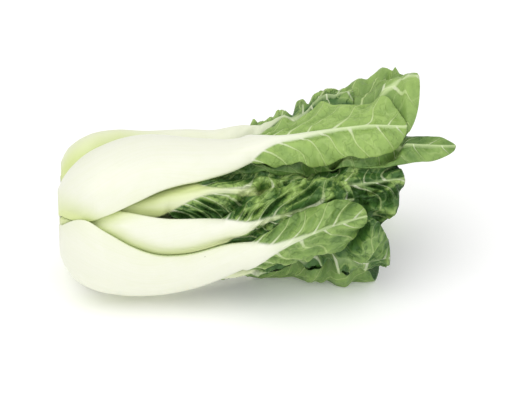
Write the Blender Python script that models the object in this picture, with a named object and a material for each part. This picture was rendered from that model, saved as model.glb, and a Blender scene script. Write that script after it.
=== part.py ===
"""A head of white-stalked bok choy, lying on its side on a flat surface.

The head grows along +X from the cut root end, with -Y towards the viewer and +Z up. Each leaf is a
sheet in polar coordinates round the head's own line: "along" is the distance from the cut, "turn" the
angle from straight up towards -Y, and every leaf gives a radius for each along and turn. Leaves are
worked out from the outermost in, and each is kept inside the ones that lie over it, so they overlap
as the real ones do and never cross. Lengths are in millimetres until place() makes them metres.
"""

import math

import bmesh
import bpy
import numpy as np
from mathutils import Matrix

METRES = 0.001

# The head as a whole
AXIS_HEIGHT = 33.2          # height of the head's line over the surface it lies on
REST_ALONG = 50.0           # where the belly rests, and where the origin is
EYE_TURN = 60.0             # the side of the head that the leaf angles below are counted from
BEND_START = 55.0           # the head's line is straight up to here
BEND_END = 165.0
BEND_BACK = 13.0            # how far the leaf end leans to +Y
BEND_UP = 4.0               # and upwards
OUTLINE = [(0, 20.5), (1.5, 24.5), (4, 28.2), (8, 31.6), (14, 34.6), (24, 36.6), (38, 37), (55, 36.4),
           (75, 34.6), (95, 35), (125, 38), (150, 39.5)]   # the head's radius along its length

# Rows of points along the head, shared by every leaf so that leaves which lie on each other bend alike
NEAR_ROWS = [0, 1.5, 4, 7.5, 12, 17.5, 24, 31]
ROW_STEP = 6.0              # between the rows after those
TIP_ROWS = (4.5, 1.2)       # a blade's last rows, from its tip

# Gaps between solids
TOUCH = 0.3                 # between a stalk and its own blade, or the core
CLEARANCE = 1.5             # least gap between one leaf and the next
LEAF_SPACE = 3.3            # the same between the blades, which are steeper
SHEET = 0.9                 # thickness of a blade
STEEPEST = 0.4              # the least cosine that this thickness allows for

# The core: the short stem that the stalks grow from
CORE_RADIUS = 13.0
CORE_TOP_RADIUS = 4.0
CORE_LENGTH = 20.0
CORE_SIDES = 20

STALK_COLUMNS = 8
STALK_EDGE = 1.5            # a stalk's thickness at its thin edges
RIB_EDGE = 0.8              # the same where it has become the midrib
RIB_SHARE = 0.66            # the share of the blade that the midrib runs up
EDGE_GAP = 2.2              # how far past a leaf's edge the ones inside it begin to come up again
STALK_RISE = 0.6            # and how steeply, past a stalk
BLADE_RISE = 1.0            # and past a blade
TIP_LENGTH = 12.0           # how far back from its tip a blade begins to close
SWEEP_LENGTH = 45.0         # how far up the head a leaf's root goes on swinging
AHEAD = (2.0, 5.0, 8.0, 11.0)   # how far ahead a leaf makes room for its blade
BLEND = 3.0                 # rounding where a leaf meets the limit of the one over it
GROUND_BLEND = 1.0          # and where it meets the surface under the head


class Leaf:
    """One leaf's own measures. Its angle, in degrees, is counted from EYE_TURN up the head's face."""

    sweep = 0.0             # how much further down the head's face the root is, in degrees
    lean = 0.0              # how far up the face the blade swings by its tip
    arch = 0.0              # and how far the middle of the blade bows up it
    foot = 1.0              # how broad the stalk's root end is, against its belly
    inset = 0.0             # how far inside the head's outline the stalk stands
    blade_inset = None      # and the blade, where it differs
    belly = 23.0            # half width of the stalk at the belly
    neck = 10.0             # half width of the stalk at the throat
    thick = 7.5             # thickness of the stalk at the belly
    half = 30.0             # half width of the blade
    sides = (1.0, 1.0)      # the share of it that the upper and lower halves have
    blunt = 4.0             # how blunt the blade's tip is
    flare = 0.0             # how far the blade's end stands out from the head
    nod = 3.0               # how far its very tip bends back in
    droop = (10.0, 10.0)    # how far the upper and lower margins turn in
    wave = 2.0              # height of the waves along the margins
    waves = 3.5             # and how many there are
    roll = 2.2              # how suddenly the margins turn in
    flap = 0.0              # how far the upper margin stands up in a small flap near the tip
    crumple = 1.0           # height of the folds over the blade
    phase = 0.0             # where the waves and folds begin
    columns = 5             # strips of the blade on each side of the midrib

    def __init__(self, name, angle, root, throat, tip, **own):
        self.name, self.angle = name, angle
        self.root, self.throat, self.tip = root, throat, tip
        self.length = tip - throat
        for measure, value in own.items():
            setattr(self, measure, value)
        if self.blade_inset is None:
            self.blade_inset = self.inset


# The leaves, from the outermost in: name, angle, and where the root, the throat and the tip are
LEAVES = [
    Leaf("near_low", -62, 0.0, 77, 129, sweep=-22, lean=48, belly=22, neck=10, half=25,
         blunt=3, sides=(0.5, 1.0), droop=(3, 7.5), wave=1.5, waves=3.0, phase=0.4, crumple=1.4, columns=6),
    Leaf("near_high", 50, 0.0, 78, 148, sweep=26, lean=-8, arch=7, foot=0.62, belly=25, neck=11,
         half=24, sides=(0.86, 0.58), droop=(-2.5, 7), roll=2.6, wave=2.0, waves=3.0, flare=1,
         phase=2.2, crumple=1.0, flap=2.5),
    Leaf("far_side", 172, 0.0, 80, 152, lean=8, belly=28, half=34, droop=(9, 9), wave=3.0, waves=3.5,
         phase=1.0, crumple=1.8, columns=4),
    Leaf("top_near", 80, 1.5, 74, 128, lean=4, belly=22, neck=8, half=17, droop=(0, 4), wave=3.0,
         waves=5.0, flare=8, phase=1.2, crumple=1.6, thick=6, columns=4),
    Leaf("top_far", 118, 1.0, 78, 155, lean=-52, belly=27, half=30, blunt=4.5, droop=(0, 0), wave=1.6,
         waves=3.0, flare=14, nod=4, phase=3.0, crumple=0.8, columns=4),
    Leaf("under_far", -128, 0.0, 80, 139, lean=12, belly=29, half=32, droop=(8, 8), wave=3.0,
         waves=3.4, flare=5, phase=4.1, crumple=1.8, columns=4),
    Leaf("inner_near", -30, 0.5, 66, 124, lean=28, inset=2, belly=21, neck=9, half=28,
         sides=(0.6, 0.8), droop=(6, 6), wave=3.6, waves=5.5, crumple=2.4, phase=5.0, thick=6,
         columns=6),
    Leaf("inner_far", 138, 10.5, 68, 150, lean=-14, inset=5, belly=25, neck=8, half=31, droop=(9, 9),
         wave=3.0, waves=4.2, crumple=2.0, phase=0.9, thick=5, columns=4),
    Leaf("inner_top", 58, 14.0, 64, 169, lean=-32, arch=10, inset=8, blade_inset=6, belly=16,
         neck=6.5, half=9, droop=(3, 3), wave=1.2, waves=4.0, crumple=0.8, phase=2.8, thick=4.5,
         columns=4),
    Leaf("inner_low", -85, 10.0, 62, 140, lean=30, inset=7, blade_inset=4, belly=20, neck=7, half=29,
         droop=(8, 6), wave=2.6, waves=4.4, crumple=2.0, flare=2, phase=1.9, thick=5),
    Leaf("heart_near", 26, 12.0, 46, 146, lean=-18, inset=8, blade_inset=6.5, belly=18, neck=11,
         half=28, sides=(0.87, 1.1), droop=(6, 6), wave=3.6, waves=7.0, crumple=2.4, phase=3.7,
         thick=5, columns=6),
    Leaf("heart_far", -170, 14.0, 48, 138, inset=17, belly=15, neck=5.5, half=24,
         nod=9, droop=(1, 1), wave=3.0, waves=4.6, crumple=2.0, phase=0.3, thick=4.5, columns=4),
    Leaf("heart_mid", 45, 19.0, 38, 130, inset=19, blade_inset=24, belly=12, neck=6, half=30, nod=10,
         droop=(0, 0), wave=2.6, waves=5.0, crumple=2.0, phase=2.0, thick=4, columns=4),
]


def through(points, along):
    """A smooth curve through (along, value) points, level beyond its ends."""
    knots, values = np.array(points, float).T
    slopes = np.gradient(values, knots)
    along = np.clip(along, knots[0], knots[-1])
    i = np.clip(np.searchsorted(knots, along, side="right") - 1, 0, len(knots) - 2)
    step = knots[i + 1] - knots[i]
    t = (along - knots[i]) / step
    bow = step * (slopes[i] * t * (1 - t) ** 2 - slopes[i + 1] * t * t * (1 - t))
    return values[i] + (values[i + 1] - values[i]) * t * t * (3 - 2 * t) + bow


def ease(low, high, x):
    """0 below low, 1 above high, and smooth between."""
    t = np.clip((x - low) / (high - low), 0, 1)
    return t * t * (3 - 2 * t)


def lesser(a, b, blend=BLEND):
    """The smaller of two, rounded where they meet, and never more than either."""
    near = np.clip(blend - np.abs(a - b), 0, None) / blend
    return np.minimum(a, b) - near * near * blend / 4


def stalk_half(leaf, along):
    """Half width of the stalk, broad round the core, necked at the throat, then the midrib."""
    wide, neck = leaf.belly, leaf.neck
    stalk = leaf.throat - leaf.root
    return through([(leaf.root, wide * 0.48), (leaf.root + stalk * 0.05, wide * 0.8),
                    (leaf.root + stalk * 0.13, wide * 1.08), (leaf.root + stalk * 0.26, wide * 1.08),
                    (leaf.root + stalk * 0.4, wide * 0.98),
                    (leaf.root + stalk * 0.68, neck + (wide - neck) * 0.4),
                    (leaf.root + stalk * 0.92, neck * 1.1),
                    (leaf.throat + 4, neck * 0.8), (leaf.throat + 14, neck * 0.36),
                    (leaf.throat + leaf.length * 0.4, neck * 0.18), (leaf.tip, 0.8)], along) * (
        leaf.foot + (1 - leaf.foot) * ease(leaf.root, leaf.root + stalk * 0.55, along))


def blade_edge(leaf, along, side):
    """Half width of the blade on the upper side, where side is positive, or the lower."""
    part = np.clip((along - leaf.throat) / leaf.length, 0, 1)
    shape = part ** 0.6 * np.sqrt(1 - part ** leaf.blunt) * 1.12
    ragged = 1 + 0.05 * np.sin(part * 17 + leaf.phase * 3)
    width = leaf.half * shape * ragged + leaf.neck * 0.8 * (1 - part) - np.clip(along - leaf.tip, 0, None)
    return width * np.where(side > 0, leaf.sides[0], leaf.sides[1])


def widest_at(leaf):
    return leaf.throat + leaf.length * 0.7


def leaf_edge(leaf, along, side):
    """The same for the stalk and blade together."""
    return np.maximum(stalk_half(leaf, along), blade_edge(leaf, along, side) * (along > leaf.throat))


def stalk_depth(leaf, along, side):
    """Thickness of the stalk or midrib at a distance to one side of its middle."""
    stalk = leaf.throat - leaf.root
    middle = through([(leaf.root, leaf.thick * 0.6), (leaf.root + stalk * 0.08, leaf.thick),
                      (leaf.root + stalk * 0.32, leaf.thick),
                      (leaf.root + stalk * 0.8, leaf.thick * 0.8), (leaf.throat, leaf.thick * 0.62),
                      (leaf.throat + leaf.length * 0.25, leaf.thick * 0.3),
                      (leaf.throat + leaf.length * 0.6, 1.3), (leaf.tip, 0.8)], along)
    edge = STALK_EDGE + (RIB_EDGE - STALK_EDGE) * ease(leaf.throat - 20, leaf.throat + 20, along)
    share = np.abs(side) / stalk_half(leaf, along)
    crown = np.clip(1 - share * share, 0, 1) ** 0.7
    return edge * np.clip(3 - 2 * share, 0, 1) + np.clip(middle - edge, 0, None) * crown


def outward(leaf, along):
    """How much of that thickness stands outside the leaf's surface: none of the stalk, all of the rib."""
    return ease(leaf.throat - 8, leaf.throat + 22, along)


def outline(along):
    return through(OUTLINE, along)


def reach(leaf, along):
    """The radius at which the leaf's widths are measured."""
    return np.maximum(outline(along) - leaf.inset, 6.0)


def midline(leaf, along):
    """The turn of the leaf's middle, with the swings of its root and its blade."""
    swings = leaf.sweep * (1 - ease(leaf.root, leaf.root + SWEEP_LENGTH, along))
    bow = leaf.arch * np.sin(math.pi * np.clip((along - leaf.throat + 20) / (leaf.length + 20), 0, 1))
    return EYE_TURN - leaf.angle + swings - bow - leaf.lean * ease(leaf.throat - 48, leaf.tip, along)


def across(leaf, along, turn):
    """Distance round the head from the leaf's midline, upwards positive."""
    away = (midline(leaf, along) - turn + 180) % 360 - 180
    return np.radians(away) * reach(leaf, along)


def folds(leaf, along, side):
    """The blade's crumpling: three runs of folds that cross, in the range -1 to 1."""
    p = leaf.phase
    return (0.5 * np.sin(side * 0.38 + 2 * p + 1.6 * np.sin(along * 0.06 + p))
            + 0.3 * np.sin(along * 0.3 + side * 0.24 + 3 * p)
            + 0.2 * np.sin(along * 0.24 - side * 0.42 + 5 * p))


def own_radius(leaf, along, side):
    """The leaf's surface before the leaves over it press it in."""
    part = (along - leaf.throat) / leaf.length
    edge = np.maximum(leaf_edge(leaf, along, side), 1.0)
    share = np.clip(side / edge, -1.2, 1.2)
    bladed = ease(leaf.throat - 10, leaf.throat + 30, along)
    width = np.clip(edge / blade_edge(leaf, widest_at(leaf), side), 0, 1)
    bent = np.abs(share) ** leaf.roll * (1 + (width - 1) * bladed)
    upper, lower = leaf.droop
    stalk_droop = leaf.belly * 0.16
    droop = stalk_droop + (np.where(side > 0, upper, lower) - stalk_droop) * bladed
    uneven = 1.2 * np.sin(part * 7 + leaf.phase * 2) + np.sign(side) * 1.1
    margin = np.sin(2 * math.pi * leaf.waves * part + leaf.phase + uneven)
    inset = leaf.inset + (leaf.blade_inset - leaf.inset) * bladed
    flap = np.exp(-((part - 0.87) / 0.05) ** 2) * ease(0.45, 1, share)
    return (outline(along) - inset + leaf.flap * flap
            + leaf.flare * ease(0.2, 0.9, part) - leaf.nod * ease(0.75, 1.1, part)
            - droop * bent + bladed * leaf.wave * margin * bent
            + bladed * leaf.crumple * folds(leaf, along, side) * (0.2 + 0.8 * np.abs(share)))


def beyond(leaf, along, side):
    """Roughly how far a point is outside the leaf's edge or past its tip."""
    widest = widest_at(leaf)
    ahead = sum(leaf_edge(leaf, along + step, side) for step in AHEAD) / len(AHEAD)
    aside = np.abs(side) - np.maximum(leaf_edge(leaf, along, side), ahead)
    past = along - leaf.tip + TIP_LENGTH
    closing = np.maximum(np.abs(side) - blade_edge(leaf, widest, side), np.minimum(aside, past))
    return np.where(along > widest, closing, aside)


def cover(leaf, along, turn, radius):
    """The limit that a leaf sets to those inside it, which rises again past its edges."""
    side = across(leaf, along, turn)
    inward = (1 - outward(leaf, along)) * stalk_depth(leaf, along, side)
    bladed = ease(leaf.throat - 14, leaf.throat - 2, along)
    space = CLEARANCE + (LEAF_SPACE + SHEET + TOUCH - CLEARANCE) * bladed
    rise = STALK_RISE + (BLADE_RISE - STALK_RISE) * bladed
    return radius - inward - space + rise * np.clip(beyond(leaf, along, side) - EDGE_GAP, 0, None)


def head_line(along):
    """The head's own line: its offset to +Y and its height."""
    bend = np.clip((along - BEND_START) / (BEND_END - BEND_START), 0, 1.3) ** 1.6
    return BEND_BACK * bend, AXIS_HEIGHT + BEND_UP * bend


def ground(along, turn):
    """The radius at which the surface under the head is met."""
    down = np.maximum(-np.cos(np.radians(turn)), 0.05)
    return head_line(along)[1] / down


def surface(leaf, along, turn):
    """The leaf's radius, under the leaves that lie over it and above the ground."""
    covers = []
    for other in LEAVES[:LEAVES.index(leaf) + 1]:
        side = across(other, along, turn)
        rib = outward(other, along) * stalk_depth(other, along, side)
        radius = lesser(own_radius(other, along, side), ground(along, turn) - rib, GROUND_BLEND)
        for over in covers:
            radius = lesser(radius, over - rib)
        covers.append(cover(other, along, turn, radius))
    return radius


def place(along, turn, radius):
    """Points in metres, with the origin on the ground under the belly."""
    back, up = head_line(along)
    turn = np.radians(turn)
    points = [along - REST_ALONG, back - radius * np.sin(turn), up + radius * np.cos(turn)]
    return np.stack(points, -1) * METRES


def rows_between(start, end):
    """The shared rows from one distance along the head to another, and those two."""
    shared = np.concatenate([NEAR_ROWS, np.arange(NEAR_ROWS[-1] + ROW_STEP, 200, ROW_STEP)])
    kept = shared[(shared > start + 1) & (shared < end - 1.5)]
    return np.concatenate([[start], kept, [end]])


def rib_end(leaf):
    """The shared row at which the midrib ends and the halves of the blade join."""
    return rows_between(leaf.root, leaf.throat + leaf.length * RIB_SHARE)[-2]


def turns(leaf, along, side):
    return midline(leaf, along) - np.degrees(side / reach(leaf, along))


def sheet_radius(along, turn, radius):
    """The inner face of a blade, so far under its outer one that the blade is SHEET thick."""
    points = place(along, turn, radius)
    normal = np.cross(np.gradient(points, axis=0), np.gradient(points, axis=1))
    out = place(along, turn, radius + 1) - points
    cosine = np.abs((normal * out).sum(-1)) / np.linalg.norm(normal, axis=-1) / np.linalg.norm(out, axis=-1)
    return radius - SHEET / np.clip(cosine, STEEPEST, 1)


def sheet_object(name, outer, inner, material, slit=0):
    """A closed solid between two grids of points, split into triangles alike on both faces.

    The strip between the two middle columns is left out up to the row that slit names.
    """
    rows, columns = outer.shape[:2]
    mesh = bmesh.new()
    bmesh.ops.create_grid(mesh, x_segments=columns - 1, y_segments=rows - 1, size=1)
    number = mesh.verts.layers.int.new("number")
    for index, vert in enumerate(mesh.verts):
        vert[number] = index
    middle = (columns // 2 - 1, columns // 2)
    left_out = [face for face in mesh.faces
                if {v[number] % columns for v in face.verts} == set(middle)
                and max(v[number] // columns for v in face.verts) <= slit]
    bmesh.ops.delete(mesh, geom=left_out, context="FACES")
    bmesh.ops.triangulate(mesh, faces=mesh.faces)
    front = list(mesh.verts)
    made = bmesh.ops.extrude_face_region(mesh, geom=list(mesh.faces), use_keep_orig=True)
    back = [v for v in made["geom"] if isinstance(v, bmesh.types.BMVert)]
    for verts, points in ((front, outer.reshape(-1, 3)), (back, inner.reshape(-1, 3))):
        for vert in verts:
            vert.co = points[vert[number]]
    mesh.verts.layers.int.remove(number)
    bmesh.ops.recalc_face_normals(mesh, faces=mesh.faces)
    if mesh.calc_volume(signed=True) < 0:
        bmesh.ops.reverse_faces(mesh, faces=mesh.faces)
    return finish_object(name, mesh, material)


def finish_object(name, mesh, material):
    data = bpy.data.meshes.new(name)
    mesh.to_mesh(data)
    mesh.free()
    data.shade_smooth()
    data.set_sharp_from_angle(angle=math.radians(50))
    data.materials.append(material)
    made = bpy.data.objects.new(name, data)
    bpy.context.scene.collection.objects.link(made)
    return made


def plain_material(name, colour, roughness):
    material = bpy.data.materials.new(name)
    material.use_nodes = True
    shader = material.node_tree.nodes["Principled BSDF"]
    shader.inputs["Base Color"].default_value = (*colour, 1)
    shader.inputs["Roughness"].default_value = roughness
    shader.inputs["Metallic"].default_value = 0
    return material


def make_stalk(leaf, material):
    """The stalk and the midrib that it runs out into."""
    rows = rows_between(leaf.root, rib_end(leaf))
    side = stalk_half(leaf, rows)[:, None] * np.linspace(-1, 1, STALK_COLUMNS + 1)
    along = np.repeat(rows[:, None], STALK_COLUMNS + 1, 1)
    turn = turns(leaf, along, side)
    depth = stalk_depth(leaf, along, side)
    ribbed = outward(leaf, along)
    radius = surface(leaf, along, turn)
    least = core_radius(along) + TOUCH
    outer = np.maximum(radius + ribbed * depth, least + 1)
    inner = np.maximum(radius - (1 - ribbed) * depth - ribbed * SHEET, least)
    return sheet_object("stalk_" + leaf.name, place(along, turn, outer), place(along, turn, inner), material)


def make_blade(leaf, material):
    """The blade: a half on each side of the midrib, joined past its end."""
    end = rib_end(leaf)
    last = [leaf.tip - short for short in TIP_ROWS]
    rows = np.concatenate([rows_between(leaf.throat + 3, end), [end + TOUCH],
                           rows_between(end, last[0])[1:], last[1:]])
    slit = int(np.searchsorted(rows, end + TOUCH))
    close = stalk_half(leaf, rows) + TOUCH
    share = np.linspace(0, 1, leaf.columns + 1)
    halves = []
    for sign in (-1, 1):
        far = np.maximum(blade_edge(leaf, rows, sign), close + 0.8)
        halves.append(sign * (close[:, None] + (far - close)[:, None] * share))
    side = np.concatenate([halves[0][:, ::-1], halves[1]], 1)
    along = np.repeat(rows[:, None], side.shape[1], 1)
    turn = turns(leaf, along, side)
    radius = surface(leaf, along, turn)
    inner = sheet_radius(along, turn, radius)
    return sheet_object("blade_" + leaf.name, place(along, turn, radius), place(along, turn, inner),
                        material, slit)


def core_radius(along):
    """The core's radius, and nothing past its top."""
    taper = CORE_RADIUS + (CORE_TOP_RADIUS - CORE_RADIUS) * along / CORE_LENGTH
    return np.where(along < CORE_LENGTH, taper, 0)


def make_core(material):
    """The short stem: a cut face, sides that taper up inside the stalks, and a narrow top."""
    mesh = bmesh.new()
    bmesh.ops.create_cone(mesh, cap_ends=True, segments=CORE_SIDES, radius1=CORE_RADIUS * METRES,
                          radius2=CORE_TOP_RADIUS * METRES, depth=CORE_LENGTH * METRES)
    middle = ((CORE_LENGTH / 2 - REST_ALONG) * METRES, 0, AXIS_HEIGHT * METRES)
    bmesh.ops.rotate(mesh, verts=mesh.verts, matrix=Matrix.Rotation(math.radians(90), 3, "Y"))
    bmesh.ops.translate(mesh, verts=mesh.verts, vec=middle)
    return finish_object("core", mesh, material)


def main():
    for old in list(bpy.data.objects):
        bpy.data.objects.remove(old)
    white = plain_material("stalk_white", (0.86, 0.88, 0.74), 0.35)
    green = plain_material("leaf_green", (0.16, 0.32, 0.07), 0.5)
    cut = plain_material("cut_face", (0.84, 0.86, 0.76), 0.6)
    make_core(cut)
    for leaf in LEAVES:
        make_stalk(leaf, white)
        make_blade(leaf, green)


main()
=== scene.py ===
"""A head of white-stalked bok choy on a pale surface: its leaves in full detail, its finish and its light.

Each leaf is a fine sheet in the same polar coordinates as its solids. "along" is the distance from the
cut, "turn" the angle from straight up towards -Y, and "side" the distance from the leaf's midline.
Leaves are worked out from the outermost in, each inside the ones over it. Lengths are in millimetres
until place() makes them metres.
"""

import math

import bmesh
import bpy
import numpy as np
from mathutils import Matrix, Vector


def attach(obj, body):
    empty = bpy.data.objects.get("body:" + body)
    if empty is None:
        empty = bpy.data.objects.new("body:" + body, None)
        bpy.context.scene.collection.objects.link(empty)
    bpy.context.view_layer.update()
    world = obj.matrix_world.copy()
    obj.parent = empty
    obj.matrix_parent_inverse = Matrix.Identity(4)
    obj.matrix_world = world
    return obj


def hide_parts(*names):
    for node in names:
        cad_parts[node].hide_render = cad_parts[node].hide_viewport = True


METRES = 0.001

# The head as a whole
AXIS_HEIGHT = 33.2          # height of the head's line over the surface it lies on
REST_ALONG = 50.0           # where the belly rests, and where the origin is
EYE_TURN = 60.0             # the side of the head that the leaf angles are counted from
BEND_START = 55.0           # the head's line is straight up to here
BEND_END = 165.0
BEND_BACK = 13.0            # how far the leaf end leans to +Y
BEND_UP = 4.0               # and upwards
OUTLINE = [(0, 20.5), (1.5, 24.5), (4, 28.2), (8, 31.6), (14, 34.6), (24, 36.6), (38, 37), (55, 36.4),
           (75, 34.6), (95, 35), (125, 38), (150, 39.5)]   # the head's radius along its length

# How close the leaves lie
CLEARANCE = 0.5             # between one stalk and the next
LEAF_SPACE = 0.9            # between the blades
SHEET = 0.6                 # thickness of a blade
STALK_EDGE = 1.5            # a stalk's thickness at its thin edges
RIB_EDGE = 0.5              # the same where it has become the midrib
EDGE_GAP = 0.8              # how far past a leaf's edge the ones inside it come up again
STALK_RISE = 0.75           # and how steeply, past a stalk
BLADE_RISE = 1.2            # and past a blade
TIP_LENGTH = 12.0           # how far back from its tip a blade begins to close
AHEAD = (2.0, 5.0, 8.0, 11.0)   # how far ahead a leaf makes room for its blade
BLEND = 3.0                 # rounding where a leaf meets the limit of the one over it
GROUND_BLEND = 1.0          # and where it meets the surface under the head

# The form of every leaf. STALK_FORM is the share of the stalk's length and its width against the belly's
STALK_FORM = [(0, 0.48), (0.05, 0.8), (0.13, 1.08), (0.26, 1.08), (0.4, 0.98)]
SWEEP_LENGTH = 45.0         # how far up the head a leaf's root goes on swinging
SWING_BEFORE = 48.0         # how far before the throat the leaf begins to swing to its tip
FLAP_AT = 0.87              # where up the blade a flap stands
FLAP_LENGTH = 0.05          # and how long it is, both as shares of the blade

# The core that the stalks grow from, and its profile as (along, radius)
CORE_RADIUS = 13.0
CORE_TOP_RADIUS = 4.0
CORE_LENGTH = 20.0
CORE_GAP = 0.3              # between it and the stalks
LEAST_STALK = 1.0           # a stalk's least thickness over it
CORE_PROFILE = [(0.3, 0), (0.1, 6), (0.2, 12.2), (0.8, 12.9), (3, 11.6), (9, 8.9),
                (CORE_LENGTH, CORE_TOP_RADIUS), (CORE_LENGTH + 0.8, 0)]
CORE_SIDES = 72

# The grid of each leaf
STALK_STEP = 1.6            # between rows along the stalk
BLADE_STEP = 0.65           # and along the blade
BLADE_ROWS_BEFORE = 12.0    # how far before the throat these closer rows begin
TIP_ROWS = 12               # rows that round off the tip
TIP_ROWS_LENGTH = 4.0       # and how far back from it they begin
COLUMNS = 76
RIM = 0.35                  # radius of the rounded margin
RIM_TURNS = (12, 35, 62)    # degrees round that margin, from its edge

# Side veins
VEIN_SPACING = 11.0         # along the midrib
LEAN_AT_THROAT = 2.6        # how far forward a vein runs for each millimetre out
LEAN_AT_TIP = 0.9

# Puckers and crinkles of the blades
TUCK_WIDTH = 5.2            # across the small puckers between the side veins
CRINKLE_ACROSS = 8.0        # across the larger crinkles
CRINKLE_ALONG = 9.0         # and along them
LUMP_MIX = (127.1, 311.7, 74.7)     # what makes each corner of lumps() its own
LUMP_SPREAD = 4375.85

# Noises over a leaf's finish, in lumps to a centimetre
PATCHES = 1.6
CREASES = 2.2
FOLDS = 3.2
GRAIN = 9.0
SPECKS = 1.1
FULL_CRINKLE = 2.5          # the crinkle at which folds and creases show in full
BUMP_HEIGHT = 0.0006        # in metres

# Colours, as the shader takes them
WHITE = (0.82, 0.83, 0.7)
# WHITE_TINT is the stalk's yellow-green: for its streaks, and as painted shade under other leaves
WHITE_TINT = (0.66, 0.74, 0.32)
PALE_GREEN = (0.32, 0.48, 0.115)
# DEEP_GREEN is both the darker leaves' own green and the blade's painted shade
DEEP_GREEN = (0.045, 0.13, 0.018)
BLUE_GREEN = (0.045, 0.13, 0.045)
VEIN = (0.56, 0.71, 0.28)
RIB_END = (0.55, 0.7, 0.3)
INNER = (0.56, 0.7, 0.36)
SPECK = (0.2, 0.2, 0.08)
FLESH = (0.84, 0.85, 0.66)
FLESH_RING = (0.62, 0.62, 0.34)
BROWNED = (0.42, 0.33, 0.16)
FLOOR = (0.98, 0.98, 0.975, 1)
LIGHT_WHITE = (1, 1, 1, 1)

# Camera and light, in metres and degrees
CAMERA_AZIMUTH = -4.0
CAMERA_ELEVATION = 32.0
CAMERA_DISTANCE = 0.98
CAMERA_AIM = (0.0345, 0.003, 0.0358)
CAMERA_LENS = 160.0         # in millimetres
FLOOR_SIZE = 3.0
FLOOR_GLOW = 0.1
WORLD_LIGHT = 0.8
LIGHT_AIM = (0.03, 0, 0.03)
LIGHT_SIZE = 0.8


class Leaf:
    """One leaf's own measures. Its angle, in degrees, is counted from EYE_TURN up the head's face."""

    sweep = 0.0             # how much further down the head's face the root is, in degrees
    lean = 0.0              # how far up the face the blade swings by its tip
    arch = 0.0              # and how far the middle of the blade bows up it
    foot = 1.0              # how broad the stalk's root end is, against its belly
    inset = 0.0             # how far inside the head's outline the stalk stands
    blade_inset = None      # and the blade, where it differs
    belly = 23.0            # half width of the stalk at the belly
    neck = 10.0             # half width of the stalk at the throat
    thick = 7.5             # thickness of the stalk at the belly
    half = 30.0             # half width of the blade
    sides = (1.0, 1.0)      # the share of it that the upper and lower halves have
    blunt = 4.0             # how blunt the blade's tip is
    flare = 0.0             # how far the blade's end stands out from the head
    nod = 3.0               # how far its very tip bends back in
    droop = (10.0, 10.0)    # how far the upper and lower margins turn in
    roll = 2.2              # and how suddenly
    wave = 2.0              # height of the waves along the margins
    waves = 3.5             # and how many there are
    flap = 0.0              # how far the upper margin stands up in a small flap near the tip
    crumple = 1.0           # height of the folds over the blade
    crinkle = 0.4           # and of the fine ones between its small veins
    phase = 0.0             # where the waves and folds begin
    dark = 0.3              # how deep its green is, from 0 to 1
    tint_and_shade = 0.0              # painted shade: how far its stalk is tinted yellow-green as if in shade, beyond what its cover gives it
    tint_and_shade_end = 200.0        # and how far along the stalk that painted shade and its edge tint go

    def __init__(self, name, angle, root, throat, tip, **own):
        self.name, self.angle = name, angle
        self.root, self.throat, self.tip = root, throat, tip
        self.length = tip - throat
        for measure, value in own.items():
            setattr(self, measure, value)
        if self.blade_inset is None:
            self.blade_inset = self.inset


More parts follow.
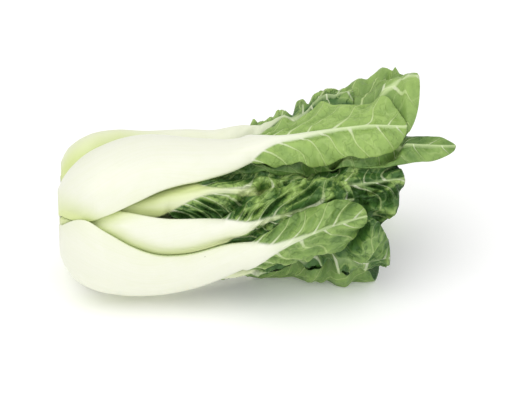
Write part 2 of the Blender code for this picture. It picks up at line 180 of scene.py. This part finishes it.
# The leaves, from the outermost in: name, angle, and where the root, the throat and the tip are
LEAVES = [
    Leaf("near_low", -62, 0.0, 77, 129, sweep=-22, lean=48, belly=22, half=25, blunt=3, sides=(0.5, 1.0),
         droop=(3, 7.5), wave=1.5, waves=3.0, phase=0.4, crumple=1.4, crinkle=1.0, dark=0.4),
    Leaf("near_high", 50, 0.0, 78, 148, sweep=26, lean=-8, arch=7, foot=0.62, belly=25, neck=11, half=24,
         sides=(0.86, 0.58), droop=(-2.5, 7), roll=2.6, waves=3.0, flare=1, phase=2.2, flap=2.5,
         crinkle=0.6, dark=0.1),
    Leaf("far_side", 172, 0.0, 80, 152, lean=8, belly=28, half=34, droop=(9, 9), wave=3.0, phase=1.0,
         crumple=1.8, dark=0.4),
    # top_near's stalk has painted shade: a yellow-green tint near its root
    Leaf("top_near", 80, 1.5, 74, 128, lean=4, belly=22, neck=8, half=17, droop=(0, 4), wave=3.0,
         waves=5.0, flare=8, phase=1.2, crumple=1.6, crinkle=2.0, thick=6, dark=0.45, tint_and_shade=0.45,
         tint_and_shade_end=50.0),
    Leaf("top_far", 118, 1.0, 78, 155, lean=-52, belly=27, blunt=4.5, droop=(0, 0), wave=1.6, waves=3.0,
         flare=14, nod=4, phase=3.0, crumple=0.8, crinkle=0.1, dark=0.15),
    Leaf("under_far", -128, 0.0, 80, 139, lean=12, belly=29, half=32, droop=(8, 8), wave=3.0, waves=3.4,
         flare=5, phase=4.1, crumple=1.8, dark=0.5),
    Leaf("inner_near", -30, 0.5, 66, 124, lean=28, inset=2, belly=21, neck=9, half=28, sides=(0.6, 0.8),
         droop=(6, 6), wave=3.6, waves=5.5, crumple=2.4, crinkle=2.6, phase=5.0, thick=6, dark=0.5),
    Leaf("inner_far", 138, 10.5, 68, 150, lean=-14, inset=5, belly=25, neck=8, half=31, droop=(9, 9),
         wave=3.0, waves=4.2, crumple=2.0, crinkle=1.2, phase=0.9, thick=5, dark=0.6),
    Leaf("inner_top", 58, 14.0, 64, 169, lean=-32, arch=10, inset=8, blade_inset=6, belly=16, neck=6.5,
         half=9, droop=(3, 3), wave=1.2, waves=4.0, crumple=0.8, phase=2.8, thick=4.5, dark=0.4),
    Leaf("inner_low", -85, 10.0, 62, 140, lean=30, inset=7, blade_inset=4, belly=20, neck=7, half=29,
         droop=(8, 6), wave=2.6, waves=4.4, crumple=2.0, crinkle=1.8, flare=2, phase=1.9, thick=5,
         dark=0.8),
    # heart_near's stalk has painted shade: a yellow-green tint
    Leaf("heart_near", 26, 12.0, 46, 146, lean=-18, inset=8, blade_inset=6.5, belly=18, neck=11, half=28,
         sides=(0.87, 1.1), droop=(6, 6), wave=3.6, waves=7.0, crumple=2.4, crinkle=3.0, phase=3.7,
         thick=5, dark=0.65, tint_and_shade=0.35),
    Leaf("heart_far", -170, 14.0, 48, 138, inset=17, belly=15, neck=5.5, half=24, nod=9, droop=(1, 1),
         wave=3.0, waves=4.6, crumple=2.0, crinkle=1.2, phase=0.3, thick=4.5, dark=0.6),
    Leaf("heart_mid", 45, 19.0, 38, 130, inset=19, blade_inset=24, belly=12, neck=6, nod=10,
         droop=(0, 0), wave=2.6, waves=5.0, crumple=2.0, crinkle=1.6, phase=2.0, thick=4, dark=0.6),
]


def through(points, along):
    """A smooth curve through (along, value) points, level beyond its ends."""
    knots, values = np.array(points, float).T
    slopes = np.gradient(values, knots)
    along = np.clip(along, knots[0], knots[-1])
    i = np.clip(np.searchsorted(knots, along, side="right") - 1, 0, len(knots) - 2)
    step = knots[i + 1] - knots[i]
    t = (along - knots[i]) / step
    bow = step * (slopes[i] * t * (1 - t) ** 2 - slopes[i + 1] * t * t * (1 - t))
    return values[i] + (values[i + 1] - values[i]) * t * t * (3 - 2 * t) + bow


def ease(low, high, x):
    """0 below low, 1 above high, and smooth between."""
    t = np.clip((x - low) / (high - low), 0, 1)
    return t * t * (3 - 2 * t)


def lesser(a, b, blend=BLEND):
    """The smaller of two, rounded where they meet, and never more than either."""
    near = np.clip(blend - np.abs(a - b), 0, None) / blend
    return np.minimum(a, b) - near * near * blend / 4


def stalk_half(leaf, along):
    """Half width of the stalk, broad round the core, necked at the throat, then the slim midrib."""
    wide, neck = leaf.belly, leaf.neck
    stalk = leaf.throat - leaf.root
    form = [(leaf.root + stalk * at, wide * share) for at, share in STALK_FORM]
    form += [(leaf.root + stalk * 0.68, neck + (wide - neck) * 0.4),
             (leaf.root + stalk * 0.92, neck * 1.05),
             (leaf.throat + 4, neck * 0.66),
             (leaf.throat + 13, neck * 0.25),
             (leaf.throat + leaf.length * 0.4, neck * 0.12),
             (leaf.tip, 0.3)]
    foot = leaf.foot + (1 - leaf.foot) * ease(leaf.root, leaf.root + stalk * 0.55, along)
    return through(form, along) * foot


def blade_edge(leaf, along, side):
    """Half width of the blade on the upper side, where side is positive, or the lower."""
    part = np.clip((along - leaf.throat) / leaf.length, 0, 1)
    shape = part ** 0.6 * np.sqrt(1 - part ** leaf.blunt) * 1.12
    ragged = 1 + 0.05 * np.sin(part * 17 + leaf.phase * 3) + 0.02 * np.sin(part * 61 + leaf.phase)
    width = leaf.half * shape * ragged + leaf.neck * 0.8 * (1 - part) - np.clip(along - leaf.tip, 0, None)
    return width * np.where(side > 0, leaf.sides[0], leaf.sides[1])


def widest_at(leaf):
    return leaf.throat + leaf.length * 0.7


def leaf_edge(leaf, along, side):
    """The same for the stalk and blade together."""
    return np.maximum(stalk_half(leaf, along), blade_edge(leaf, along, side) * (along > leaf.throat))


def stalk_depth(leaf, along, side):
    """Thickness of the stalk or midrib at a distance to one side of its middle."""
    stalk = leaf.throat - leaf.root
    middle = through([(leaf.root, leaf.thick * 0.6),
                      (leaf.root + stalk * 0.08, leaf.thick),
                      (leaf.root + stalk * 0.32, leaf.thick),
                      (leaf.root + stalk * 0.8, leaf.thick * 0.8),
                      (leaf.throat, leaf.thick * 0.62),
                      (leaf.throat + leaf.length * 0.25, leaf.thick * 0.26),
                      (leaf.throat + leaf.length * 0.6, 0.9),
                      (leaf.tip, 0.4)], along)
    edge = STALK_EDGE + (RIB_EDGE - STALK_EDGE) * ease(leaf.throat - 20, leaf.throat + 20, along)
    share = np.abs(side) / stalk_half(leaf, along)
    crown = np.clip(1 - share * share, 0, 1) ** 0.7
    return edge * np.clip(3 - 2 * share, 0, 1) + np.clip(middle - edge, 0, None) * crown


def outward(leaf, along):
    """How much of that thickness stands outside the leaf's surface: none of the stalk, all of the rib."""
    return ease(leaf.throat - 8, leaf.throat + 22, along)


def outline(along):
    return through(OUTLINE, along)


def reach(leaf, along):
    """The radius at which the leaf's widths are measured."""
    return np.maximum(outline(along) - leaf.inset, 6.0)


def midline(leaf, along):
    """The turn of the leaf's middle, with the swings of its root and its blade."""
    root_swing = leaf.sweep * (1 - ease(leaf.root, leaf.root + SWEEP_LENGTH, along))
    tip_swing = leaf.lean * ease(leaf.throat - SWING_BEFORE, leaf.tip, along)
    bow = leaf.arch * np.sin(math.pi * np.clip((along - leaf.throat + 20) / (leaf.length + 20), 0, 1))
    return EYE_TURN - leaf.angle + root_swing - bow - tip_swing


def across(leaf, along, turn):
    """Distance round the head from the leaf's midline, upwards positive."""
    away = (midline(leaf, along) - turn + 180) % 360 - 180
    return np.radians(away) * reach(leaf, along)


def folds(leaf, along, side):
    """The blade's crumpling: three runs of folds that cross, in the range -1 to 1."""
    p = leaf.phase
    return (0.5 * np.sin(side * 0.38 + 2 * p + 1.6 * np.sin(along * 0.06 + p))
            + 0.3 * np.sin(along * 0.3 + side * 0.24 + 3 * p)
            + 0.2 * np.sin(along * 0.24 - side * 0.42 + 5 * p))


def vein_lean(leaf, along):
    """How far forward a side vein runs for each millimetre out."""
    towards_tip = ease(leaf.throat - 6, leaf.throat + 0.6 * leaf.length, along)
    return LEAN_AT_THROAT + (LEAN_AT_TIP - LEAN_AT_THROAT) * towards_tip


def vein_count(leaf, along, side):
    """Counts the side veins up the leaf: each lies where this is a whole number."""
    p = leaf.phase
    start = along - leaf.throat - vein_lean(leaf, along) * np.abs(side)
    wander = 1.7 * np.sin(0.21 * side + 0.16 * along + p) + 1.3 * np.sin(0.33 * side - 0.1 * along + 2 * p)
    return (start + wander * (0.7 + 0.5 * leaf.crinkle)) / VEIN_SPACING + np.where(side > 0, 0.5, 0)


def vein_spread(leaf, along):
    """The distance straight across from one side vein to the next."""
    return VEIN_SPACING / np.sqrt(1 + vein_lean(leaf, along) ** 2)


def lumps(x, y, seed):
    """Smooth ups and downs as if at random, each about one unit across, from -1 to 1."""
    column, row = np.floor(x), np.floor(y)
    right, up = x - column, y - row

    def corner(i, j):
        mixture = (column + i) * LUMP_MIX[0] + (row + j) * LUMP_MIX[1] + seed * LUMP_MIX[2]
        grain = np.sin(mixture) * LUMP_SPREAD
        return 2 * (grain - np.floor(grain)) - 1

    u = right * right * (3 - 2 * right)
    v = up * up * (3 - 2 * up)
    low = corner(0, 0) * (1 - u) + corner(1, 0) * u
    high = corner(0, 1) * (1 - u) + corner(1, 1) * u
    return low * (1 - v) + high * v


def tucks(leaf, along, side):
    """The small veins: they lie where this is nothing, with the leaf puckered between them."""
    count = vein_count(leaf, along, side)
    finer = lumps(side / (TUCK_WIDTH / 2), count * 4.3 + 80, 7.0)
    return lumps(side / TUCK_WIDTH, count * 2.1 + 40, leaf.phase) + 0.35 * finer


def relief(leaf, along, side):
    """The blade's fine relief: pleats between the side veins, puckers between those, and crinkles."""
    between = 0.5 - 0.5 * np.cos(2 * math.pi * vein_count(leaf, along, side))
    near_throat = 1 - ease(leaf.throat, leaf.throat + 26, along)
    pleats = -(0.5 + 1.1 * near_throat + 0.25 * leaf.crumple) * between
    small = 1 - 2.4 * np.abs(tucks(leaf, along, side))
    large = 1 - 2.4 * np.abs(lumps(side / CRINKLE_ACROSS, along / CRINKLE_ALONG, leaf.phase + 3))
    return pleats + leaf.crinkle * (0.8 * small + 0.9 * large)


def fine_relief(leaf, along, side, share):
    """The relief that the blade's surface has: none on the midrib, and little at a smooth leaf's margins."""
    off_rib = ease(0.9, 2.2, np.abs(side) / stalk_half(leaf, along)) * ease(
        leaf.throat - 4, leaf.throat + 6, along)
    calm = max(0, 1 - leaf.crinkle) * ease(0.6, 0.95, np.abs(share))
    return off_rib * relief(leaf, along, side) * (1 - calm)


def own_radius(leaf, along, side):
    """The leaf's surface before the leaves over it press it in."""
    part = (along - leaf.throat) / leaf.length
    edge = np.maximum(leaf_edge(leaf, along, side), 1.0)
    share = np.clip(side / edge, -1.2, 1.2)
    bladed = ease(leaf.throat - 10, leaf.throat + 30, along)
    width = np.clip(edge / blade_edge(leaf, widest_at(leaf), side), 0, 1)
    bent = np.abs(share) ** leaf.roll * (1 + (width - 1) * bladed)
    upper, lower = leaf.droop
    stalk_droop = leaf.belly * 0.16
    droop = stalk_droop + (np.where(side > 0, upper, lower) - stalk_droop) * bladed
    uneven = 1.2 * np.sin(part * 7 + leaf.phase * 2) + np.sign(side) * 1.1
    margin = np.sin(2 * math.pi * leaf.waves * part + leaf.phase + uneven)
    ruffle = 0.3 * np.sin(2 * math.pi * leaf.waves * 2.3 * part + 3 * leaf.phase + 2 * uneven)
    inset = leaf.inset + (leaf.blade_inset - leaf.inset) * bladed
    flap = np.exp(-((part - FLAP_AT) / FLAP_LENGTH) ** 2) * ease(0.45, 1, share)
    return (outline(along) - inset + leaf.flap * flap
            + leaf.flare * ease(0.2, 0.9, part) - leaf.nod * ease(0.75, 1.1, part)
            - droop * bent + bladed * leaf.wave * (margin + ruffle) * bent
            + bladed * leaf.crumple * folds(leaf, along, side) * (0.2 + 0.8 * np.abs(share))
            + fine_relief(leaf, along, side, share))


def beyond(leaf, along, side):
    """Roughly how far a point is outside the leaf's edge or past its tip."""
    widest = widest_at(leaf)
    ahead = sum(leaf_edge(leaf, along + step, side) for step in AHEAD) / len(AHEAD)
    aside = np.abs(side) - np.maximum(leaf_edge(leaf, along, side), ahead)
    past = along - leaf.tip + TIP_LENGTH
    closing = np.maximum(np.abs(side) - blade_edge(leaf, widest, side), np.minimum(aside, past))
    return np.where(along > widest, closing, aside)


def cover(leaf, along, turn, radius):
    """The limit that a leaf sets to those inside it, which rises again past its edges."""
    side = across(leaf, along, turn)
    inward = (1 - outward(leaf, along)) * stalk_depth(leaf, along, side)
    bladed = ease(leaf.throat - 14, leaf.throat - 2, along)
    space = CLEARANCE + (LEAF_SPACE + SHEET - CLEARANCE) * bladed
    rise = STALK_RISE + (BLADE_RISE - STALK_RISE) * bladed
    return radius - inward - space + rise * np.clip(beyond(leaf, along, side) - EDGE_GAP, 0, None)


def head_line(along):
    """The head's own line: its offset to +Y and its height."""
    bend = np.clip((along - BEND_START) / (BEND_END - BEND_START), 0, 1.3) ** 1.6
    return BEND_BACK * bend, AXIS_HEIGHT + BEND_UP * bend


def ground(along, turn):
    """The radius at which the surface under the head is met."""
    down = np.maximum(-np.cos(np.radians(turn)), 0.05)
    return head_line(along)[1] / down


def surface(leaf, along, turn):
    """The leaf's radius, under the leaves over it and above the ground, and its painted shade: 1 under the
    leaves over it, fading out just past their edges.
    """
    covers = []
    hidden = np.zeros_like(along)
    for other in LEAVES[:LEAVES.index(leaf) + 1]:
        side = across(other, along, turn)
        rib = outward(other, along) * stalk_depth(other, along, side)
        radius = lesser(own_radius(other, along, side), ground(along, turn) - rib, GROUND_BLEND)
        for over in covers:
            radius = lesser(radius, over - rib)
        covers.append(cover(other, along, turn, radius))
        # Painted shade mask: 1 under the leaves over it, fading out by 11 mm past their edges
        if other is not leaf:
            hidden = np.maximum(hidden, 1 - ease(-2, 11, beyond(other, along, side)))
    return radius, hidden


def place(along, turn, radius):
    """Points in metres, with the origin on the ground under the belly."""
    back, up = head_line(along)
    turn = np.radians(turn)
    points = [along - REST_ALONG, back - radius * np.sin(turn), up + radius * np.cos(turn)]
    return np.stack(points, -1) * METRES


def turns(leaf, along, side):
    return midline(leaf, along) - np.degrees(side / reach(leaf, along))


def core_radius(along):
    """The core's radius, and nothing past its top."""
    taper = CORE_RADIUS + (CORE_TOP_RADIUS - CORE_RADIUS) * along / CORE_LENGTH
    return np.where(along < CORE_LENGTH, taper, 0)


def leaf_rows(leaf):
    """Rows along the leaf: closer over the blade, and closest where it rounds off at the tip."""
    blade_from = leaf.throat - BLADE_ROWS_BEFORE
    stalk = np.arange(leaf.root, blade_from, STALK_STEP)
    blade = np.arange(blade_from, leaf.tip - TIP_ROWS_LENGTH, BLADE_STEP)
    tip = leaf.tip - TIP_ROWS_LENGTH * (1 - np.linspace(0, 0.98, TIP_ROWS)) ** 2
    return np.concatenate([stalk, blade, tip])


def leaf_sides(leaf, rows):
    """Distances to the side for every row: even across, then round the rim at both edges."""
    low = leaf_edge(leaf, rows, -1)
    high = leaf_edge(leaf, rows, 1)
    rounding = [RIM * (1 - math.cos(math.radians(angle))) for angle in RIM_TURNS]
    even = -(low - RIM)[:, None] + (low + high - 2 * RIM)[:, None] * np.linspace(0, 1, COLUMNS + 1)
    left = [(-low + step)[:, None] for step in rounding]
    right = [(high - step)[:, None] for step in reversed(rounding)]
    return np.concatenate(left + [even] + right, 1)


def rim_fullness(columns):
    """The share of the leaf's thickness that each column has: all of it, but for the rounded rims."""
    fullness = np.ones(columns)
    rounding = np.sin(np.radians(RIM_TURNS))
    fullness[:len(rounding)] = rounding
    fullness[-len(rounding):] = rounding[::-1]
    return fullness


def make_leaf(leaf, material):
    """The whole leaf: stalk, midrib and blade in one closed sheet, with what its finish follows."""
    rows = leaf_rows(leaf)
    side = leaf_sides(leaf, rows)
    along = np.repeat(rows[:, None], side.shape[1], 1)
    turn = turns(leaf, along, side)
    radius, hidden = surface(leaf, along, turn)
    depth = stalk_depth(leaf, along, side)
    ribbed = outward(leaf, along)
    least = core_radius(along) + CORE_GAP
    outer = np.maximum(radius + ribbed * depth, least + LEAST_STALK)
    inner = np.maximum(radius - np.maximum((1 - ribbed) * depth, SHEET), least)
    middle = (outer + inner) / 2
    fullness = rim_fullness(side.shape[1])
    outer = middle + (outer - middle) * fullness
    inner = middle + (inner - middle) * fullness
    share = np.abs(side) / np.maximum(leaf_edge(leaf, along, side), 1)
    past = np.abs(side) - stalk_half(leaf, along)
    white = 1 - ease(-0.2, 0.7, past)
    measures = {"along": along, "side": side, "white": white, "share": share, "hidden": hidden,
                "count": vein_count(leaf, along, side), "spread": vein_spread(leaf, along),
                "tucks": tucks(leaf, along, side), "past": past,
                "relief": relief(leaf, along, side)}
    return sheet_object("leaf_" + leaf.name, place(along, turn, outer), place(along, turn, inner),
                        measures, material)


def sheet_object(name, outer, inner, measures, material):
    """A closed sheet between two grids of points, with the measures kept at its points."""
    rows, columns = outer.shape[:2]
    mesh = bmesh.new()
    bmesh.ops.create_grid(mesh, x_segments=columns - 1, y_segments=rows - 1, size=1)
    number = mesh.verts.layers.int.new("number")
    behind = mesh.verts.layers.int.new("behind")
    for index, vert in enumerate(mesh.verts):
        vert[number] = index
    extruded = bmesh.ops.extrude_face_region(mesh, geom=list(mesh.faces), use_keep_orig=True)
    for item in extruded["geom"]:
        if isinstance(item, bmesh.types.BMVert):
            item[behind] = 1
    numbers = np.array([vert[number] for vert in mesh.verts])
    inside = np.array([vert[behind] for vert in mesh.verts])
    for layer in ("number", "behind"):
        mesh.verts.layers.int.remove(mesh.verts.layers.int[layer])
    points = np.where(inside[:, None], inner.reshape(-1, 3)[numbers], outer.reshape(-1, 3)[numbers])
    for vert, point in zip(mesh.verts, points.tolist()):
        vert.co = point
    bmesh.ops.recalc_face_normals(mesh, faces=mesh.faces)
    if mesh.calc_volume(signed=True) < 0:
        bmesh.ops.reverse_faces(mesh, faces=mesh.faces)
    sheet = finish_object(name, mesh, material)
    kept = {measure: values.reshape(-1)[numbers] for measure, values in measures.items()}
    kept["inside"] = inside.astype(float)
    for measure, values in kept.items():
        attribute = sheet.data.attributes.new(measure, "FLOAT", "POINT")
        attribute.data.foreach_set("value", values)
    return sheet


def finish_object(name, mesh, material):
    data = bpy.data.meshes.new(name)
    mesh.to_mesh(data)
    mesh.free()
    data.shade_smooth()
    data.materials.append(material)
    made = bpy.data.objects.new(name, data)
    bpy.context.scene.collection.objects.link(made)
    return made


class Value:
    """A node's output. Plain arithmetic on it adds Math nodes, and node() adds any other."""

    def __init__(self, tree, socket):
        self.tree, self.socket = tree, socket

    @staticmethod
    def node(tree, kind, settings=(), output=0, **inputs):
        """Adds a node, sets it up, then gives its inputs their numbers, colours or links."""
        made = tree.nodes.new(kind)
        for name, setting in dict(settings).items():
            setattr(made, name, setting)
        for name, value in inputs.items():
            socket = next(s for s in made.inputs if s.enabled and s.name.replace(" ", "_") == name)
            if isinstance(value, Value):
                tree.links.new(value.socket, socket)
            else:
                socket.default_value = (*value, 1) if socket.type == "RGBA" else value
        shown = [s for s in made.outputs if s.enabled]
        return Value(tree, shown[output])

    def maths(self, operation, *others, clamp=False):
        made = self.tree.nodes.new("ShaderNodeMath")
        made.operation, made.use_clamp = operation, clamp
        for socket, value in zip(made.inputs, (self, *others)):
            if isinstance(value, Value):
                self.tree.links.new(value.socket, socket)
            else:
                socket.default_value = value
        return Value(self.tree, made.outputs[0])

    def __add__(self, other):
        return self.maths("ADD", other)

    def __mul__(self, other):
        return self.maths("MULTIPLY", other)

    def __sub__(self, other):
        return self.maths("SUBTRACT", other)

    def __rsub__(self, other):
        return self.maths("MULTIPLY", -1).maths("ADD", other)

    def __truediv__(self, other):
        return self.maths("DIVIDE", other)

    def __pow__(self, other):
        return self.maths("POWER", other)

    __radd__ = __add__
    __rmul__ = __mul__

    def clamped(self):
        return self.maths("ADD", 0, clamp=True)

    def size(self):
        return self.maths("ABSOLUTE")

    def falling(self, rate):
        """1 where this is nothing, and less and less above that."""
        return (self * -rate).maths("EXPONENT")

    def step(self, low, high):
        """0 below low, 1 above high, and smooth between."""
        return Value.node(self.tree, "ShaderNodeMapRange", {"interpolation_type": "SMOOTHSTEP"},
                          Value=self, From_Min=low, From_Max=high)

    def feeds(self, node, name):
        """Leads this into one of the shader's sockets."""
        self.tree.links.new(self.socket, node.inputs[name])


def new_material(name):
    material = bpy.data.materials.new(name)
    material.use_nodes = True
    return material, material.node_tree.nodes["Principled BSDF"]


def mixed(factor, a, b):
    """From colour a to colour b."""
    return Value.node(factor.tree, "ShaderNodeMix", {"data_type": "RGBA"}, Factor=factor, A=a, B=b)


def noise(where, scale, detail):
    return Value.node(where.tree, "ShaderNodeTexNoise", Vector=where, Scale=scale, Detail=detail,
                      Roughness=0.5)


class LeafLook:
    """What a leaf's finish follows: the measures kept at its points, noises over it, and its veins."""

    MEASURES = ("along", "side", "white", "share", "hidden", "inside", "relief", "count", "spread", "tucks",
                "past")

    def __init__(self, leaf, tree):
        for name in self.MEASURES:
            setattr(self, name, Value.node(tree, "ShaderNodeAttribute", {"attribute_name": name}, output=2))
        self.rough = min(1, leaf.crinkle / FULL_CRINKLE)
        self.where = Value.node(tree, "ShaderNodeCombineXYZ", X=self.along * 0.1, Y=self.side * 0.1,
                                Z=leaf.phase * 3)
        self.patchy = noise(self.where, PATCHES, 3)
        self.fine = noise(self.where, GRAIN, 3)
        # The folds and crease lines make the blade's bump, and also darken its green as painted shade
        self.folds_and_shade = noise(self.where, FOLDS, 4)
        self.crease_and_shade = 1 - (noise(self.where, CREASES, 3) - 0.5).size().step(0, 0.045)
        stretched = Value.node(tree, "ShaderNodeCombineXYZ", X=self.along * 0.012, Y=self.side * 0.55,
                               Z=leaf.phase)
        self.streaks = noise(stretched, 3, 3)
        self.vein = self.side_veins(leaf)
        self.net = 1 - self.tucks.size().step(0.02, 0.14)

    def side_veins(self, leaf):
        """1 on the side veins, which are wide by the midrib and thin at the margin."""
        distance = (0.5 - (self.count.maths("FRACT") - 0.5).size()) * self.spread
        slim = min(1, leaf.half / 26)
        width = (0.4 - self.share * 0.16 + self.past.falling(0.3) * 0.22) * slim
        return 1 - (distance / width).step(0.4, 1.3)


def blade_colour(leaf, look):
    """Pale or deep green in patches, with painted shade in folds, creases, low relief and under other
    leaves; bluish inside, with pale veins.
    """
    # Painted shade: the green darkens along folds and creases, where the relief is low, and under and near
    # the edges of the leaves over it
    folds_and_shade = ((0.5 - look.folds_and_shade) * 0.9 + look.crease_and_shade * 0.35) * look.rough
    deep_green_and_shade = (leaf.dark + (look.patchy - 0.5) * 0.8 + (look.fine - 0.5) * 0.3
            - look.relief * (0.1 + 0.04 * leaf.crinkle) + look.hidden * 0.35 + folds_and_shade).clamped()
    green = mixed(deep_green_and_shade, PALE_GREEN, DEEP_GREEN)
    green = mixed(look.inside * 0.8, green, BLUE_GREEN)
    green = mixed(look.net * 0.16, green, VEIN)
    before_tip = 1 - look.along.step(leaf.tip - 8, leaf.tip - 1)
    clear = (0.85 - look.share * 0.3) * (1 - 0.6 * leaf.dark) * before_tip
    green = mixed(look.vein * clear, green, VEIN)
    return mixed(look.vein * look.past.falling(0.5) * 0.7, green, WHITE)


def stalk_colour(leaf, look, green):
    """White, with painted shade as a yellow-green tint under the leaves over it and just past their edges,
    greener towards its edges, in patches and in streaks; the midrib fades into the blade's green.
    """
    # Painted shade: the leaf's own shade tint and the cover mask tint the stalk yellow-green where leaves
    # lie over it
    shaded = 1 - look.along.step(leaf.tint_and_shade_end - 25, leaf.tint_and_shade_end) * 0.8
    tint_and_shade = ((leaf.tint_and_shade + look.hidden * (0.85 - look.inside * 0.5) + (look.share ** 4) * 0.2) * shaded
            + look.inside * 0.15 + (look.patchy - 0.5) * 0.25).clamped()
    pale = mixed(tint_and_shade, WHITE, WHITE_TINT)
    pale = mixed((look.streaks - 0.45).clamped() * 0.35, pale, WHITE_TINT)
    pale = mixed(look.inside * 0.5, pale, INNER)
    fading = look.along.step(leaf.throat + 0.1 * leaf.length, leaf.throat + 0.75 * leaf.length)
    pale = mixed(fading * 0.85, pale, RIB_END)
    pale = mixed(fading * leaf.dark, pale, green)
    specks = Value.node(look.where.tree, "ShaderNodeTexVoronoi", Vector=look.where, Scale=SPECKS)
    return mixed((1 - specks.step(0.018, 0.03)) * 0.7, pale, SPECK)


def leaf_material(leaf):
    """White stalk, green blade with pale veins, and a darker bluish inner face."""
    material, shader = new_material("leaf_" + leaf.name)
    tree = material.node_tree
    look = LeafLook(leaf, tree)
    green = blade_colour(leaf, look)
    mixed(look.white, green, stalk_colour(leaf, look, green)).feeds(shader, "Base Color")
    roughness = 0.5 - look.white * 0.14 + (look.fine - 0.5) * 0.2 - look.inside * 0.08
    roughness.feeds(shader, "Roughness")
    creased = (look.folds_and_shade - look.crease_and_shade * 0.4) * (0.5 + 2.5 * look.rough)
    raised = look.vein * 0.7 + look.net * 0.3 + look.fine * 0.5 + creased
    height = raised * (1 - look.white) + look.streaks * look.white * 0.25
    bump = Value.node(tree, "ShaderNodeBump", Height=height, Strength=0.7, Distance=BUMP_HEIGHT)
    bump.feeds(shader, "Normal")
    return material


def core_material():
    """The cut end: pale flesh with rings where the leaves begin, a little browned."""
    material, shader = new_material("cut_end")
    tree = material.node_tree
    own_place = Value.node(tree, "ShaderNodeTexCoord", output=3)
    centred = Value.node(tree, "ShaderNodeMapping", Vector=own_place,
                         Location=(REST_ALONG * METRES, 0, -AXIS_HEIGHT * METRES))
    rings = Value.node(tree, "ShaderNodeTexWave", {"wave_type": "RINGS", "rings_direction": "X"},
                       Vector=centred, Scale=70, Distortion=3, Detail=3)
    mottled = noise(centred, 260, 4)
    flesh = mixed(rings * 0.4, FLESH, FLESH_RING)
    mixed((mottled - 0.5).clamped() * 1.2, flesh, BROWNED).feeds(shader, "Base Color")
    (0.6 + (mottled - 0.5) * 0.2).feeds(shader, "Roughness")
    height = rings * 0.5 + mottled
    bump = Value.node(tree, "ShaderNodeBump", Height=height, Strength=0.6, Distance=BUMP_HEIGHT)
    bump.feeds(shader, "Normal")
    return material


def make_core(material):
    """The cut end and the short stem behind it, turned from a profile."""
    mesh = bmesh.new()
    centre = Vector((-REST_ALONG * METRES, 0, AXIS_HEIGHT * METRES))
    before = None
    for along, radius in CORE_PROFILE:
        vert = mesh.verts.new(centre + Vector((along, 0, radius)) * METRES)
        if before:
            mesh.edges.new((before, vert))
        before = vert
    bmesh.ops.spin(mesh, geom=list(mesh.verts) + list(mesh.edges), cent=centre, axis=(1, 0, 0),
                   angle=2 * math.pi, steps=CORE_SIDES, use_merge=True)
    bmesh.ops.remove_doubles(mesh, verts=mesh.verts, dist=0.01 * METRES)
    bmesh.ops.recalc_face_normals(mesh, faces=mesh.faces)
    return finish_object("core_cut", mesh, material)


def make_floor():
    mesh = bmesh.new()
    bmesh.ops.create_grid(mesh, x_segments=1, y_segments=1, size=FLOOR_SIZE)
    material, shader = new_material("pale_surface")
    shader.inputs["Base Color"].default_value = FLOOR
    shader.inputs["Roughness"].default_value = 0.7
    shader.inputs["Emission Color"].default_value = LIGHT_WHITE
    shader.inputs["Emission Strength"].default_value = FLOOR_GLOW
    floor = finish_object("floor", mesh, material)


def area_light(name, energy, place_at):
    data = bpy.data.lights.new(name, "AREA")
    data.energy, data.size = energy, LIGHT_SIZE
    light = bpy.data.objects.new(name, data)
    bpy.context.scene.collection.objects.link(light)
    light.location = place_at
    light.rotation_euler = (Vector(LIGHT_AIM) - Vector(place_at)).to_track_quat("-Z", "Y").to_euler()


def light_scene():
    bpy.context.scene.view_settings.view_transform = "Standard"
    world = bpy.data.worlds.new("soft_white")
    world.use_nodes = True
    background = world.node_tree.nodes["Background"]
    background.inputs["Color"].default_value = LIGHT_WHITE
    background.inputs["Strength"].default_value = WORLD_LIGHT
    bpy.context.scene.world = world
    area_light("key", 3.0, (-0.2, -0.3, 0.9))
    area_light("fill", 1.2, (0.5, -0.7, 0.5))


def make_camera():
    data = bpy.data.cameras.new("camera")
    data.lens = CAMERA_LENS
    camera = bpy.data.objects.new("camera", data)
    bpy.context.scene.collection.objects.link(camera)
    azimuth, elevation = math.radians(CAMERA_AZIMUTH), math.radians(CAMERA_ELEVATION)
    back = Vector((math.sin(azimuth) * math.cos(elevation), -math.cos(azimuth) * math.cos(elevation),
                   math.sin(elevation)))
    camera.location = Vector(CAMERA_AIM) + back * CAMERA_DISTANCE
    camera.rotation_euler = (-back).to_track_quat("-Z", "Y").to_euler()
    bpy.context.scene.camera = camera


def main():
    make_camera()
    light_scene()
    make_floor()
    core = make_core(core_material())
    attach(core, "root")
    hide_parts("core")
    for leaf in LEAVES:
        piece = make_leaf(leaf, leaf_material(leaf))
        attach(piece, "root")
        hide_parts("stalk_" + leaf.name, "blade_" + leaf.name)


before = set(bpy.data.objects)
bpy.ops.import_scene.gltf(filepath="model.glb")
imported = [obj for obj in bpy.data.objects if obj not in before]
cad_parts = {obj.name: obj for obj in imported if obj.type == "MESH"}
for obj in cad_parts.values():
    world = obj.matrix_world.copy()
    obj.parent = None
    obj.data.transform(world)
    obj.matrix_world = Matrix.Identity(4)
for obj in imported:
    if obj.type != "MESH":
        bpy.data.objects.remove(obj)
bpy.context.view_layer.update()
main()
